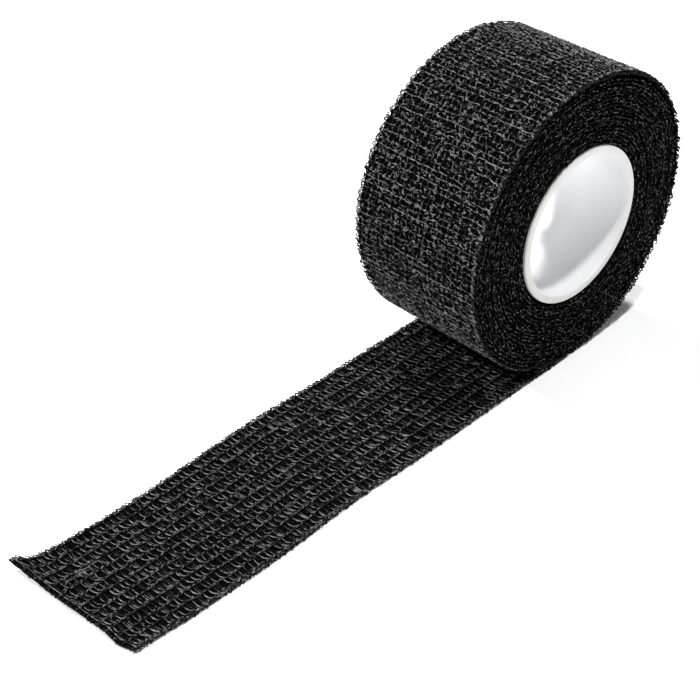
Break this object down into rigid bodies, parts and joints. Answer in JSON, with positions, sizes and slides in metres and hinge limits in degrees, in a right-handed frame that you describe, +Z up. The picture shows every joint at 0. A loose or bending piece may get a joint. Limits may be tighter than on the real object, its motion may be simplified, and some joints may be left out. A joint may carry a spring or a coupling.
{
  "type": "grip tape roll",
  "caption": "Roll of knitted elastic grip tape wound on a plain plastic core, with a free length of tape laid out flat from the bottom of the roll.",
  "frame": {"origin": "centre of the core's bore, half way along it", "axes": "+Y along the bore axis, +Z up from the surface the roll rests on, and the free tape lies along -X"},
  "size_m": [0.1195, 0.025, 0.051],
  "materials": {
    "core_plastic": "glossy moulded off-white plastic",
    "tab_adhesive": "matt double-sided adhesive tab",
    "tape_fabric": "black open knitted web with a soft self-adhesive coat",
    "tape_thread": "black yarn with a low sheen"
  },
  "bodies": {
    "tail": {"tail_web": "tape_fabric", "tail_warp_threads": "tape_thread", "tail_weft_threads": "tape_thread"},
    "lap": {"lap_web": "tape_fabric", "lap_warp_threads": "tape_thread", "lap_weft_threads": "tape_thread"},
    "roll": {"core_tube": "core_plastic", "starter_tab": "tab_adhesive", "wound_tape": "tape_fabric"}
  },
  "joints": [
    {"name": "roll_travel", "type": "slide", "parent": "tail", "child": "lap", "axis": [1, 0, 0], "range_m": [-0.0198, 0.0396], "deforming": ["tail_web", "tail_warp_threads", "tail_weft_threads"]},
    {"name": "roll_turn", "type": "hinge", "parent": "lap", "child": "roll", "pos_m": [0, 0, 0], "axis": [0, 1, 0], "range_deg": [-45.3, 90.3]}
  ],
  "couplings": [
    {"joint": "roll_turn", "follows": "roll_travel", "rad_per_m": 39.68}
  ]
}
